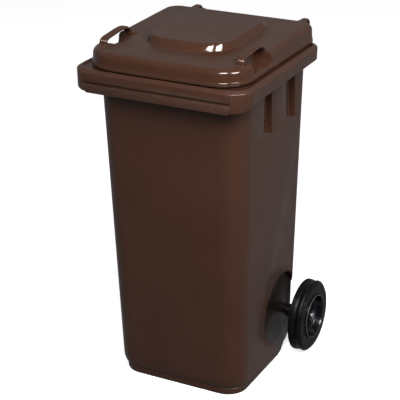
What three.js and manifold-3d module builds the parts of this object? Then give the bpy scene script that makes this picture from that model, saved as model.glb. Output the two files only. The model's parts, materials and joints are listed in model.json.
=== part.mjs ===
// A 120-litre two-wheeled refuse bin with a hinged lid, in millimetres, +Z up, front towards -Y.
// The origin is on the ground, in the middle of the bin's width and of its depth over the hinge eyes.
import * as THREE from 'three';
import { mergeVertices } from 'three/addons/utils/BufferGeometryUtils.js';
import Module from 'manifold-3d';

const wasm = await Module();
wasm.setup();

// ---------------------------------------------------------------- driving dimensions
// While the parts are made, y = 0 is the middle of the body's rim; the whole bin moves back at the end.
const GAP = 0.3; // running clearance between separate parts

const WALL = 3.6; // moulded wall of the body
const FOOT = { height: 20, rear: 186, inset: 7 };
const BASE = { z: FOOT.height, halfWidth: 185, front: -143.5, rear: 225 }; // body wall at the foot
const NECK = { z: 823, halfWidth: 204.5, front: -174, rear: 239.5 }; // body wall just under the rim
const BODY_CORNER = 58;
const HEEL_HEIGHT = 66; // the rear wall curves forward to the foot below this height
const FLOOR_TOP = 5.5;

const RIM = { top: 877, skirtBottom: 845, halfWidth: 240, front: -234, rear: 245, corner: 58, skin: 3.6 };
const COMB = { bottom: 823, halfWidth: 203, recess: 3, beam: 10, ribPitch: 48, rib: 3, slopeStart: -150 };
const GROOVE = { bottom: 846, top: 854, depth: 8 };

const SIDE_POCKET = { top: 838, frontBottom: 720, rearBottom: 701, floor: 187, rib: 4, ribFace: 196 };
// Each bay's y at its top front, top rear, bottom rear and bottom front.
const SIDE_BAYS = [[-46, -4, 7, -43], [83, 136, 150, 93]];
const ARCH = { centreY: 109, centreZ: 155, radius: 105, floor: 174 };
// (y, z) from the front of the arch down to the ground.
const ARCH_FOOT = [[19, 111], [34, 91], [56, 73], [112, 20]];

const AXLE = { y: 205, z: 100, radius: 10, end: 246 };
const BAY = { halfWidth: 168, front: 158, top: 128, ribX: 55, rib: 4, bossRadius: 19, bossLength: 22 };

const HINGE = { y: 302, z: 901, pinRadius: 5, headRadius: 8, eyeRadius: 9.5 };
const PLATE = { inner: 138, outer: 148.5, middle: 5 }; // the upright plates behind the rim
const PIN = { tip: 3.6, barb: 6.1, nose: 6, head: 3.5, dimple: 2.5, dimpleDepth: 8 };
const PIN_SLOT = { half: 0.8, length: 7 };
const ARM = { in: 150, out: 168, webIn: 155, webOut: 163, radius: 17, roof: 3.5, heel: -55 };
const GRIP = { y: 298, z: 882, radius: 12.5 };

const LID = { bottom: 882, top: 923, halfWidth: 217, front: -212, rear: 254, bow: 5, skin: 3.5 };
const LID_SHOULDER = 14; // height of the rounded edge between the lid's skirt and its top
const LID_RISE = 6; // how much higher the lid's top is at its rear edge than at its front edge
const LID_CORNER = { front: 80, rear: 44 };
const PANEL = { top: 942, cornerFront: 22, cornerRear: 20 };
const PANEL_FOOT = { half: 123, front: -119, rear: 172, bow: 38 };
const PANEL_TOP = { half: 117, front: -94, rear: 150, bow: 4 };
const STRAP = { inner: 177, outer: 198, front: -154, rear: -20, top: 945, thick: 6.5 };
const SCOOP = { inner: 158, front: -131, rear: -28, floorInner: 909, floorOuter: 892 };

const TYRE = { radius: 100, inner: 208.5, outer: 247, bead: 61.5, seat: 66 };
const HUB = { barrel: 56, lip: 61.2, outer: 251.5, bossRadius: 21, bossIn: 204, bossOut: 242, webX: 226 };
const LOCK = { x: 216, housing: 6.5, top: 39.5, pin: 2.5, collar: 3.3, groove: 0.6 };
const LOCK_UP = { pin: 8.4, collar: 20, spring: 22.7, springTop: 34.3, plug: 35 }; // heights above the axle
const SPRING = { wire: 0.38, radius: 2.7, turns: 4 };
const SLEEVE = { inner: 174.5, outer: 200.5, radius: 15 };
const WASHER = { inner: 200.9, outer: 203.4, radius: 18 };
const BUFFER = { x: 120, y: -206.5, head: 6, stem: 3 };

const ORIGIN_Y = (RIM.front + HINGE.y + ARM.radius) / 2;

// ---------------------------------------------------------------- materials
const plastic = (color, roughness) => new THREE.MeshStandardMaterial({ color, roughness, metalness: 0 });
const metal = (color, roughness) => new THREE.MeshStandardMaterial({ color, roughness, metalness: 0.9 });
const BROWN_BODY = 0x46332b;
const BROWN_LID = 0x4f3e36;
const BLACK_HUB = 0x141416;
const BLACK_RUBBER = 0x1d1d20;
const ZINC_GREY = 0x8f8c88;

// ---------------------------------------------------------------- solids
// A closed geometry as a solid that can be cut and joined.
function solid(geometry) {
  const bare = geometry.index ? geometry.toNonIndexed() : geometry.clone();
  bare.deleteAttribute('normal');
  bare.deleteAttribute('uv');
  const merged = mergeVertices(bare, 1e-4);
  return new wasm.Manifold(new wasm.Mesh({
    numProp: 3,
    vertProperties: new Float32Array(merged.attributes.position.array),
    triVerts: new Uint32Array(merged.index.array),
  }));
}

function geometryOf(body) {
  const mesh = body.getMesh();
  const geometry = new THREE.BufferGeometry();
  geometry.setAttribute('position', new THREE.BufferAttribute(new Float32Array(mesh.vertProperties), 3));
  geometry.setIndex(new THREE.BufferAttribute(new Uint32Array(mesh.triVerts), 1));
  return geometry;
}

const joined = (parts) => parts.reduce((whole, part) => whole.add(part));
const mirrored = (body) => body.mirror([1, 0, 0]);
const bothSides = (body) => body.add(mirrored(body));

function box(x, y, z) {
  const geometry = new THREE.BoxGeometry(x[1] - x[0], y[1] - y[0], z[1] - z[0]);
  geometry.translate((x[0] + x[1]) / 2, (y[0] + y[1]) / 2, (z[0] + z[1]) / 2);
  return solid(geometry);
}

// A profile in (y, z) swept along X from x0 to x1.
function alongX(points, x0, x1) {
  const shape = new THREE.Shape(points.map(([y, z]) => new THREE.Vector2(y, z)));
  const geometry = new THREE.ExtrudeGeometry(shape, { depth: x1 - x0, bevelEnabled: false });
  const turn = new THREE.Matrix4().set(0, 0, 1, x0, 1, 0, 0, 0, 0, 1, 0, 0, 0, 0, 0, 1);
  return solid(geometry.applyMatrix4(turn));
}

// A profile in (x, z) swept along Y from y0 to y1.
function alongY(points, y0, y1) {
  const shape = new THREE.Shape(points.map(([x, z]) => new THREE.Vector2(x, z)));
  const geometry = new THREE.ExtrudeGeometry(shape, { depth: y1 - y0, bevelEnabled: false });
  const turn = new THREE.Matrix4().set(1, 0, 0, 0, 0, 0, -1, y1, 0, 1, 0, 0, 0, 0, 0, 1);
  return solid(geometry.applyMatrix4(turn));
}

// A closed profile in (radius, x) turned about a line along X through (y, z).
function turned(profile, y, z, segments = 36) {
  const points = profile.map(([r, x]) => new THREE.Vector2(r, x));
  const geometry = new THREE.LatheGeometry([...points, points[0].clone()], segments);
  geometry.rotateZ(-Math.PI / 2);
  geometry.translate(0, y, z);
  const made = solid(geometry);
  return made.volume() < 0 ? solid(flipped(geometry)) : made;
}

function flipped(geometry) {
  const turnedOver = geometry.toNonIndexed();
  const p = turnedOver.attributes.position.array;
  for (let i = 0; i < p.length; i += 9) {
    for (let k = 0; k < 3; k += 1) {
      [p[i + 3 + k], p[i + 6 + k]] = [p[i + 6 + k], p[i + 3 + k]];
    }
  }
  return turnedOver;
}

function rodX(r, x0, x1, y, z, segments = 24) {
  return turned([[0, x0], [r, x0], [r, x1], [0, x1]], y, z, segments);
}

function tubeX(rIn, rOut, x0, x1, y, z, segments = 24) {
  return turned([[rIn, x0], [rOut, x0], [rOut, x1], [rIn, x1]], y, z, segments);
}

function rodZ(r, z0, z1, x, y, segments = 14) {
  const geometry = new THREE.CylinderGeometry(r, r, z1 - z0, segments);
  geometry.rotateX(Math.PI / 2);
  geometry.translate(x, y, (z0 + z1) / 2);
  return solid(geometry);
}

// The outline of a rectangle with rounded corners, seen from above; bow pushes the front edge's middle out.
function outline({ halfWidth, front, rear, cornerFront, cornerRear, bow = 0, steps = 6, edge = 6 }) {
  const points = [];
  const arc = (cx, cy, r, from) => {
    for (let i = 0; i <= steps; i += 1) {
      const a = from + (i / steps) * (Math.PI / 2);
      points.push([cx + r * Math.cos(a), cy + r * Math.sin(a)]);
    }
  };
  arc(halfWidth - cornerRear, rear - cornerRear, cornerRear, 0);
  arc(-halfWidth + cornerRear, rear - cornerRear, cornerRear, Math.PI / 2);
  arc(-halfWidth + cornerFront, front + cornerFront, cornerFront, Math.PI);
  const reach = halfWidth - cornerFront;
  for (let i = 1; i < edge; i += 1) {
    const x = -reach + (2 * reach * i) / edge;
    points.push([x, front - bow * (1 - (x / reach) ** 2)]);
  }
  arc(halfWidth - cornerFront, front + cornerFront, cornerFront, 1.5 * Math.PI);
  return points;
}

// A skin through outlines of equal point counts, one above the other, closed at the bottom and the top.
function loft(sections) {
  const count = sections[0].points.length;
  const corners = sections.map(({ z, points }) => points.map(([x, y]) => [x, y, z]));
  const triangles = [];
  for (let s = 0; s + 1 < corners.length; s += 1) {
    for (let i = 0; i < count; i += 1) {
      const j = (i + 1) % count;
      triangles.push(corners[s][i], corners[s][j], corners[s + 1][j]);
      triangles.push(corners[s][i], corners[s + 1][j], corners[s + 1][i]);
    }
  }
  const cap = (ring, up) => {
    const flat = ring.map(([x, y]) => new THREE.Vector2(x, y));
    for (const [a, b, c] of THREE.ShapeUtils.triangulateShape(flat, [])) {
      triangles.push(...(up ? [ring[a], ring[b], ring[c]] : [ring[a], ring[c], ring[b]]));
    }
  };
  cap(corners[0], false);
  cap(corners[corners.length - 1], true);
  const geometry = new THREE.BufferGeometry();
  geometry.setAttribute('position', new THREE.BufferAttribute(new Float32Array(triangles.flat()), 3));
  return solid(geometry);
}

// ---------------------------------------------------------------- body
const mix = (a, b, t) => a + (b - a) * t;

// The body's outer wall at a height: a tapered box whose heel curves forward to the foot.
function bodyAt(z, inset = 0) {
  const t = (z - BASE.z) / (NECK.z - BASE.z);
  const low = Math.min(Math.max(1 - z / HEEL_HEIGHT, 0), 1);
  const rear = mix(BASE.rear, NECK.rear, t);
  return outline({
    halfWidth: mix(BASE.halfWidth, NECK.halfWidth, t) - inset,
    front: mix(BASE.front, NECK.front, t) + inset,
    rear: rear - inset - (rear - FOOT.rear) * low ** 1.8,
    cornerFront: BODY_CORNER - inset * 0.4,
    cornerRear: BODY_CORNER - inset * 0.4,
  });
}

// Heights and insets from the ground up: the foot, then the soft step above it.
function bodyOuter() {
  const insets = [[0, 9], [3, FOOT.inset + 0.5], [FOOT.height, FOOT.inset], [FOOT.height + 0.5, 3.5],
    [27, 1.6], [36, 0.5], [48, 0]];
  const low = insets.map(([z, inset]) => ({ z, points: bodyAt(z, inset) }));
  const high = [HEEL_HEIGHT, 300, NECK.z, RIM.top].map((z) => ({ z, points: bodyAt(z) }));
  return loft([...low, ...high]);
}

function bodyInner() {
  const foot = FOOT.inset + WALL;
  const insets = [[FLOOR_TOP, foot + 8], [FLOOR_TOP + 6, foot], [FOOT.height + 4, foot], [36, WALL + 1.5],
    [48, WALL], [HEEL_HEIGHT, WALL], [300, WALL], [NECK.z, WALL], [RIM.top + 1, WALL]];
  return loft(insets.map(([z, inset]) => ({ z, points: bodyAt(z, inset) })));
}

function rimAt(inset, corner = RIM.corner) {
  return outline({
    halfWidth: RIM.halfWidth - inset,
    front: RIM.front + inset,
    rear: RIM.rear - inset,
    cornerFront: corner - inset,
    cornerRear: corner - inset,
  });
}

// The rim: a flange round the mouth with a hanging skirt that drops to the comb at the front corners.
function rim() {
  const block = loft([[COMB.bottom, 0.8], [RIM.top - 3, 0], [RIM.top - 1, 1], [RIM.top, 3.5]]
    .map(([z, inset]) => ({ z, points: rimAt(inset) })));
  const under = alongX([
    [RIM.front - 1, COMB.bottom - 1], [RIM.rear + 1, COMB.bottom - 1], [RIM.rear + 1, RIM.skirtBottom],
    [COMB.slopeStart, RIM.skirtBottom], [RIM.front - 1, COMB.bottom + 3],
  ], -RIM.halfWidth - 1, RIM.halfWidth + 1);
  const hollow = loft([COMB.bottom - 2, RIM.top - RIM.skin].map((z) => ({ z, points: rimAt(RIM.skin) })));
  const corners = [-1, 1].map((side) => box(
    [side * COMB.halfWidth - COMB.rib / 2, side * COMB.halfWidth + COMB.rib / 2],
    [RIM.front + 1.5, NECK.front + 20],
    [COMB.bottom + 6, RIM.top - 2],
  ));
  return block.subtract(under).subtract(hollow).add(joined(corners).intersect(block.subtract(under)));
}

// The comb beam under the front rim, with the ribs between which a lifting comb's teeth enter.
function comb() {
  const front = RIM.front + COMB.recess;
  const back = front + COMB.beam;
  const half = COMB.halfWidth;
  const beam = alongY([
    [-half, RIM.top - 2], [-half, COMB.bottom + 12], [-half + 12, COMB.bottom], [half - 12, COMB.bottom],
    [half, COMB.bottom + 12], [half, RIM.top - 2],
  ], front, back);
  const ribs = [];
  for (let x = -3.5 * COMB.ribPitch; x < half; x += COMB.ribPitch) {
    const across = [x - COMB.rib / 2, x + COMB.rib / 2];
    ribs.push(box(across, [back - 1, NECK.front + 2], [COMB.bottom + 8, RIM.top - 2]));
  }
  return joined([beam, ...ribs]);
}

function combSurroundings() {
  const half = COMB.halfWidth;
  const ahead = RIM.front - 1;
  const recess = box([-half, half], [ahead, RIM.front + COMB.recess], [COMB.bottom - 2, GROOVE.bottom]);
  const across = [-half + 1, half - 1];
  const groove = box(across, [ahead, RIM.front + GROOVE.depth], [GROOVE.bottom, GROOVE.top]);
  return recess.add(groove);
}

// Two tall pockets in each side wall under the rim, each with an upright rib standing on its floor.
function sidePockets(wall) {
  const { top, frontBottom, rearBottom, floor, rib, ribFace } = SIDE_POCKET;
  const high = wall ? RIM.top + 2 : top;
  const cuts = SIDE_BAYS.map(([topFront, topRear, lowRear, lowFront]) => {
    const bay = alongX([
      [topFront - wall, high], [lowFront - wall, frontBottom - wall],
      [lowRear + wall, rearBottom - wall], [topRear + wall, high],
    ], floor - wall, NECK.halfWidth + 4);
    if (wall) {
      return bay;
    }
    const [upper, lower] = [(topFront + topRear) / 2, (lowFront + lowRear) / 2];
    const spine = alongX([
      [upper - rib / 2, top + 1], [lower - rib / 2, rearBottom - 1],
      [lower + rib / 2, rearBottom - 1], [upper + rib / 2, top + 1],
    ], floor - 1, ribFace);
    return bay.subtract(spine);
  });
  return bothSides(joined(cuts));
}

// The hollow in each lower rear corner that the wheel stands beside.
function wheelArches(wall) {
  const rear = BASE.rear + 40;
  const arc = arcPoints(ARCH.centreY, ARCH.centreZ, ARCH.radius + wall, 22, 188, 14);
  const down = ARCH_FOOT.map(([y, z]) => [y - wall, z - wall]);
  const points = [[rear, -10], [rear, arc[0][1]], ...arc, ...down, [132, -10]];
  return bothSides(alongX(points, ARCH.floor - wall, BASE.halfWidth + 30));
}

// The bay under the raised rear floor that the axle crosses.
function axleBay(wall) {
  const rear = BASE.rear + 40;
  const { front, top } = BAY;
  const ring = [
    [front - wall, -10], [rear, -10], [rear, top + wall], [front + 14, top + wall], [front - wall, top - 16],
  ];
  const half = wall ? ARCH.floor + 40 : BAY.halfWidth;
  return alongX(ring, -half, half);
}

function axleSupports() {
  const bossEnd = ARCH.floor - BAY.bossLength;
  const roof = BAY.top + 1;
  const bosses = bothSides(rodX(BAY.bossRadius, bossEnd, ARCH.floor - 1, AXLE.y, AXLE.z));
  const web = [
    [BAY.front - 1, 24], [AXLE.y - 12, 62], [BASE.rear - 3, 70], [BASE.rear - 1, roof], [BAY.front - 1, roof],
  ];
  const ribs = bothSides(alongX(web, BAY.ribX - BAY.rib / 2, BAY.ribX + BAY.rib / 2));
  const stay = [
    [AXLE.y - 2, AXLE.z + 12], [AXLE.y + 2, AXLE.z + 12], [AXLE.y + 2, roof], [AXLE.y - 2, roof],
  ];
  const stays = bothSides(alongX(stay, bossEnd, ARCH.floor - 2));
  return joined([bosses, ribs, stays]);
}

function arcPoints(y, z, radius, fromDegrees, toDegrees, steps) {
  return Array.from({ length: steps + 1 }, (_, i) => {
    const a = THREE.MathUtils.degToRad(mix(fromDegrees, toDegrees, i / steps));
    return [y + radius * Math.cos(a), z + radius * Math.sin(a)];
  });
}

// The plates behind the rim that carry the grip; the outer two also have the eyes the lid turns on.
function gripPlate(x0, x1) {
  const root = RIM.rear - 4;
  const end = arcPoints(GRIP.y, GRIP.z, GRIP.radius + 1.5, -75, 110, 8);
  return alongX([[root, 838], [264, 853], [284, 866], ...end, [266, 879], [root, 875]], x0, x1);
}

function eyePlate(x0, x1) {
  const root = RIM.rear - 4;
  const eye = arcPoints(HINGE.y, HINGE.z, HINGE.eyeRadius, -40, 195, 14);
  return alongX([[root, 845], [290, 872], ...eye, [266, 882], [root, 875]], x0, x1);
}

function rearHandle() {
  const { inner, outer, middle } = PLATE;
  const grip = rodX(GRIP.radius, -outer + 1, outer - 1, GRIP.y, GRIP.z, 24);
  const plates = bothSides(gripPlate(inner, outer).add(eyePlate(inner, outer)));
  return joined([grip, plates, gripPlate(-middle, middle)]);
}

function bufferHoles() {
  return bothSides(rodZ(BUFFER.stem + GAP, RIM.top - 12, RIM.top + 5, BUFFER.x, BUFFER.y));
}

function makeBody() {
  const hollows = (wall) => [sidePockets(wall), wheelArches(wall), axleBay(wall)];
  const outside = hollows(0).reduce((left, hollow) => left.subtract(hollow), bodyOuter());
  const inside = hollows(WALL).reduce((left, hollow) => left.subtract(hollow), bodyInner());
  const shell = joined([outside, rim(), comb(), rearHandle()]).subtract(inside);
  const axleHole = rodX(AXLE.radius + GAP, -ARCH.floor - 2, ARCH.floor + 2, AXLE.y, AXLE.z);
  const pinHoles = rodX(HINGE.pinRadius + GAP, -ARM.out, ARM.out, HINGE.y, HINGE.z, 20);
  const cuts = joined([combSurroundings(), axleHole, pinHoles, bufferHoles()]);
  return shell.add(axleSupports()).subtract(cuts);
}

// ---------------------------------------------------------------- lid
function lidAt(z, inset) {
  return {
    z,
    points: outline({
      halfWidth: LID.halfWidth - inset,
      front: LID.front + inset,
      rear: LID.rear - inset,
      cornerFront: LID_CORNER.front - inset / 2,
      cornerRear: LID_CORNER.rear - inset / 2,
      bow: LID.bow,
    }),
  };
}

// The raised panel: its front edge is nearly straight on top and bowed at its foot.
function panelAt(z, t, inset) {
  const between = (key) => mix(PANEL_FOOT[key], PANEL_TOP[key], t);
  return {
    z,
    points: outline({
      halfWidth: between('half') - inset,
      front: between('front') + between('bow') + inset,
      rear: between('rear') - inset,
      cornerFront: PANEL.cornerFront,
      cornerRear: PANEL.cornerRear,
      bow: between('bow'),
      edge: 10,
    }),
  };
}

function panel(drop, inset) {
  return loft([
    panelAt(LID.top - 8 - drop, 0, inset),
    panelAt(LID.top - drop, 0, inset),
    panelAt(PANEL.top - 3 - drop, 0.85, inset),
    panelAt(PANEL.top - drop, 1, inset + 3),
  ]);
}

function scoop(skin) {
  const x = SCOOP.inner - skin;
  return bothSides(alongY([
    [x, LID.top + 40], [x, LID.top - 3], [x + 5, SCOOP.floorInner - skin],
    [LID.halfWidth + 4, SCOOP.floorOuter - skin], [LID.halfWidth + 20, SCOOP.floorOuter - skin],
    [LID.halfWidth + 20, LID.top + 40],
  ], SCOOP.front - skin, SCOOP.rear + skin));
}

// The strap that bridges the scoop in each side of the lid and is gripped from the side.
function strap() {
  const { front, rear, top, thick } = STRAP;
  const low = LID.top - 2;
  return bothSides(alongX([
    [front, low], [front + 4, top - 11], [front + 10, top - 6], [front + 20, top - 4], [rear - 45, top],
    [rear - 24, top - 1], [rear - 10, top - 7], [rear - 2, top - 15], [rear, low],
    [rear - 12, low], [rear - 16, top - 15], [rear - 26, top - thick - 2], [rear - 45, top - thick],
    [front + 24, top - thick - 4], [front + 16, top - thick - 6], [front + 10, low],
  ], STRAP.inner, STRAP.outer));
}

// The two hooded arms behind the lid: a web with a roof that curls round the pin.
function arms() {
  const { radius, roof } = ARM;
  const root = LID.rear - 5;
  const top = HINGE.z + radius;
  const over = arcPoints(HINGE.y, HINGE.z, radius, 90, ARM.heel, 10);
  const under = arcPoints(HINGE.y, HINGE.z, radius - roof, ARM.heel, 90, 10);
  const hood = alongX([[root, top], ...over, ...under, [root, top - roof]], ARM.in, ARM.out);
  const side = [[root, top - 1], ...over, [HINGE.y - 4, HINGE.z - 14], [root, LID.bottom + 4]];
  const web = alongX(side, ARM.webIn, ARM.webOut);
  const soft = [[0, 906], [1.5, 912], [4.5, 916], [8, top + 0.5]];
  const across = [[ARM.in, 870], [ARM.out, 870], ...soft.map(([d, z]) => [ARM.out - d, z]),
    ...soft.slice().reverse().map(([d, z]) => [ARM.in + d, z])];
  return bothSides(hood.add(web).intersect(alongY(across, root - 1, HINGE.y + radius + 1)));
}

// The lid's top climbs a little towards the hinge while the skirt's lower edge stays level.
function climbing(body) {
  const { bottom, top, front, rear } = LID;
  const part = (value, from, to) => Math.min(Math.max((value - from) / (to - from), 0), 1);
  return body.warp((v) => {
    v[2] += LID_RISE * part(v[1], front, rear) * part(v[2], bottom, top - LID_SHOULDER);
  });
}

function makeLid() {
  const { bottom, top, skin } = LID;
  const outer = loft([
    lidAt(bottom, 0), lidAt(top - LID_SHOULDER, 2), lidAt(top - 7, 5), lidAt(top - 2, 11), lidAt(top, 20),
  ]);
  const inner = loft([
    lidAt(bottom - 1, skin), lidAt(top - LID_SHOULDER - 1, skin + 2), lidAt(top - 6, 12),
    lidAt(top - skin, 22),
  ]);
  const shell = outer.add(panel(0, 0)).subtract(scoop(0));
  const hollow = inner.add(panel(skin, skin)).subtract(scoop(skin));
  const pinHoles = rodX(HINGE.pinRadius + GAP, -ARM.out, ARM.out, HINGE.y, HINGE.z, 20);
  return climbing(shell.subtract(hollow).add(strap())).add(arms()).subtract(pinHoles);
}

// ---------------------------------------------------------------- hinge pin
// Headed pin pushed in from outside; its split inner end springs out behind the plate that holds it.
function makeHingePin() {
  const { y, z, pinRadius, headRadius } = HINGE;
  const barb = PLATE.inner - GAP;
  const tip = barb - PIN.nose;
  const head = ARM.webOut + GAP;
  const face = head + PIN.head;
  const dimpleEnd = face - PIN.dimpleDepth;
  const pin = turned([
    [0, tip], [PIN.tip, tip], [PIN.barb, barb - 1.5], [PIN.barb, barb], [pinRadius, barb],
    [pinRadius, head], [headRadius, head], [headRadius, face - 0.8], [headRadius - 0.8, face],
    [PIN.dimple, face], [PIN.dimple, dimpleEnd], [0, dimpleEnd],
  ], y, z, 20);
  const slot = [y - PIN_SLOT.half, y + PIN_SLOT.half];
  return pin.subtract(box([tip - 1, barb + PIN_SLOT.length], slot, [z - headRadius - 1, z + headRadius + 1]));
}

// ---------------------------------------------------------------- wheels, for the right-hand side
function makeAxle() {
  const { end, radius } = AXLE;
  const reach = LOCK.pin + LOCK.groove;
  const [low, high] = [LOCK.x - reach, LOCK.x + reach];
  const half = [[radius, low], [radius - 2, low], [radius - 2, high], [radius, high], [radius, end - 1.5],
    [radius - 1.5, end], [0, end]];
  const other = half.map(([r, x]) => [r, -x]).reverse();
  return turned([...other, ...half], AXLE.y, AXLE.z, 24);
}

function makeTyre() {
  const { radius, inner, outer, bead, seat } = TYRE;
  const middle = (inner + outer) / 2;
  return turned([
    [seat, inner + 12], [bead, inner + 6], [bead, inner], [radius - 15, inner], [radius - 5, inner + 3],
    [radius, inner + 11], [radius, middle - 2.5], [radius - 2.5, middle - 1.5], [radius - 2.5, middle + 1.5],
    [radius, middle + 2.5], [radius, outer - 11], [radius - 5, outer - 3], [radius - 15, outer],
    [bead, outer], [bead, outer - 6], [seat, outer - 12],
  ], AXLE.y, AXLE.z, 44);
}

function makeHub() {
  const { barrel, lip, outer, bossRadius, bossIn, bossOut, webX } = HUB;
  const inside = TYRE.inner;
  const rimSeat = TYRE.seat - GAP;
  const bore = AXLE.radius + GAP;
  const core = turned([
    [bore, bossIn], [bossRadius - 1, bossIn], [bossRadius, webX - 4], [barrel - 12, webX - 6],
    [barrel - 3, webX - 10], [barrel, inside], [lip - GAP, inside], [lip - GAP, inside + 6 - GAP],
    [rimSeat, inside + 12 + GAP], [rimSeat, TYRE.outer - 12 - GAP], [lip - GAP, TYRE.outer - 6 + GAP],
    [lip - GAP, outer], [barrel + 2, outer], [barrel, outer - 3], [barrel - 3, webX - 2],
    [barrel - 12, webX - 1], [bossRadius + 6, webX], [bossRadius - 2, webX + 4], [bossRadius - 4, bossOut],
    [bore, bossOut],
  ], AXLE.y, AXLE.z, 36);
  const up = (r0, r1) => [AXLE.z + r0, AXLE.z + r1];
  const housing = rodZ(LOCK.housing, ...up(14, LOCK.top), LOCK.x, AXLE.y);
  const ribs = [];
  for (let i = 0; i < 8; i += 1) {
    const rib = box([webX - 14, webX - 3], [-1.5, 1.5], [bossRadius - 3, barrel - 1]);
    ribs.push(rib.rotate([22.5 + i * 45, 0, 0]).translate([0, AXLE.y, AXLE.z]));
  }
  const pinBore = rodZ(LOCK.pin + GAP, ...up(0, LOCK_UP.collar), LOCK.x, AXLE.y);
  const springBore = rodZ(LOCK.collar + GAP, ...up(LOCK_UP.collar - GAP, LOCK.top + 5), LOCK.x, AXLE.y);
  const axleBore = rodX(bore, bossIn - 1, bossOut + 1, AXLE.y, AXLE.z, 36);
  return joined([core, housing, ...ribs]).subtract(joined([pinBore, springBore, axleBore]));
}

// Sprung pin that drops into the axle's groove and keeps the wheel on.
function makeLockPin() {
  const collar = AXLE.z + LOCK_UP.collar;
  const shaft = rodZ(LOCK.pin, AXLE.z + LOCK_UP.pin, collar + 1, LOCK.x, AXLE.y);
  return shaft.add(rodZ(LOCK.collar, collar, collar + 2, LOCK.x, AXLE.y));
}

function makeLockSpring() {
  const { turns, radius } = SPRING;
  class Helix extends THREE.Curve {
    getPoint(t) {
      const a = t * turns * 2 * Math.PI;
      const z = AXLE.z + mix(LOCK_UP.spring, LOCK_UP.springTop, t);
      return new THREE.Vector3(LOCK.x + radius * Math.cos(a), AXLE.y + radius * Math.sin(a), z);
    }
  }
  const wire = new THREE.Shape();
  wire.absarc(0, 0, SPRING.wire, 0, 2 * Math.PI);
  const sweep = { steps: turns * 10, curveSegments: 4, extrudePath: new Helix() };
  return solid(new THREE.ExtrudeGeometry(wire, sweep));
}

function makeLockPlug() {
  return rodZ(LOCK.collar, AXLE.z + LOCK_UP.plug, AXLE.z + LOCK.top, LOCK.x, AXLE.y);
}

// A spacer sleeve or a washer: a plain ring on the axle.
function makeRing({ radius, inner, outer }) {
  return tubeX(AXLE.radius + GAP, radius, inner, outer, AXLE.y, AXLE.z);
}

// Rubber stop pushed into the rim, on which the lid's front edge rests.
function makeBuffer() {
  const head = rodZ(BUFFER.head, RIM.top + GAP, LID.bottom - GAP, BUFFER.x, BUFFER.y);
  return head.add(rodZ(BUFFER.stem, RIM.top - 9, RIM.top + 2, BUFFER.x, BUFFER.y));
}

// ---------------------------------------------------------------- assembly
const bin = new THREE.Group();
bin.position.y = -ORIGIN_Y;

function place(name, body, material) {
  const mesh = new THREE.Mesh(geometryOf(body), material);
  mesh.name = name;
  bin.add(mesh);
}

function placePair(name, body, makeMaterial) {
  place(`${name}_right`, body, makeMaterial());
  place(`${name}_left`, mirrored(body), makeMaterial());
}

place('body', makeBody(), plastic(BROWN_BODY, 0.42));
place('lid', makeLid(), plastic(BROWN_LID, 0.38));
place('axle', makeAxle(), metal(ZINC_GREY, 0.4));
placePair('hinge_pin', makeHingePin(), () => plastic(BROWN_LID, 0.45));
placePair('tyre', makeTyre(), () => plastic(BLACK_RUBBER, 0.75));
placePair('wheel_hub', makeHub(), () => plastic(BLACK_HUB, 0.25));
placePair('spacer_sleeve', makeRing(SLEEVE), () => plastic(BLACK_HUB, 0.5));
placePair('axle_washer', makeRing(WASHER), () => metal(ZINC_GREY, 0.45));
placePair('lock_pin', makeLockPin(), () => metal(ZINC_GREY, 0.35));
placePair('lock_spring', makeLockSpring(), () => metal(ZINC_GREY, 0.3));
placePair('lock_plug', makeLockPlug(), () => plastic(BLACK_HUB, 0.5));
placePair('lid_buffer', makeBuffer(), () => plastic(BLACK_RUBBER, 0.8));

const part = new THREE.Group();
part.add(bin);
export default part;
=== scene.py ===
"""A two-wheeled refuse bin: smooth moulded shells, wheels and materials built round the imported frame."""

import json
import math

import bmesh
import bpy
import numpy as np
from mathutils import Matrix, Vector


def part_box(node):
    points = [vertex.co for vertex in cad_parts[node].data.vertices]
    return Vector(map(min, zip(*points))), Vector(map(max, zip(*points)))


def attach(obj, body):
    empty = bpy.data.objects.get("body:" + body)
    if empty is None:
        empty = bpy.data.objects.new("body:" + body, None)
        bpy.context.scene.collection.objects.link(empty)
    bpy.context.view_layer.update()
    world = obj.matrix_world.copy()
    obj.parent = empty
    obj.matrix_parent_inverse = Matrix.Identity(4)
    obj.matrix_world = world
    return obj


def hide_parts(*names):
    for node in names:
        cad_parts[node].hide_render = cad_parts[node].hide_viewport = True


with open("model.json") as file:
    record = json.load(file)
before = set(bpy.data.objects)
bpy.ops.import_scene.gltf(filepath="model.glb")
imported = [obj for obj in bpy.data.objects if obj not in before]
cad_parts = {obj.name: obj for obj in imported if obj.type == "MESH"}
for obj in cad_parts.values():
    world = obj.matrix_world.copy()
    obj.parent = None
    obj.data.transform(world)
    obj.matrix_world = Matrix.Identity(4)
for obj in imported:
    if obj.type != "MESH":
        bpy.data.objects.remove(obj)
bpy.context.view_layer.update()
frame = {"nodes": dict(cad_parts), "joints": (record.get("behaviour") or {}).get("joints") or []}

# ---------- places, in millimetres
# y = 0 is the middle of the body's rim here; SHIFT takes it to the frame's own origin.
BODY_LOW, BODY_HIGH = (c * 1000 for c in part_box("body"))
RIM_HALF = BODY_HIGH.x
RIM_FRONT, RIM_REAR = -234.0, 245.0
SHIFT = RIM_FRONT - BODY_LOW.y
JOINTS = {j["name"]: j for j in frame["joints"]}
AXLE_Y = JOINTS["axle_spin"]["pos_m"][1] * 1000 + SHIFT
AXLE_Z = JOINTS["axle_spin"]["pos_m"][2] * 1000
HINGE_Y = JOINTS["lid_hinge"]["pos_m"][1] * 1000 + SHIFT
HINGE_Z = JOINTS["lid_hinge"]["pos_m"][2] * 1000

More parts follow.
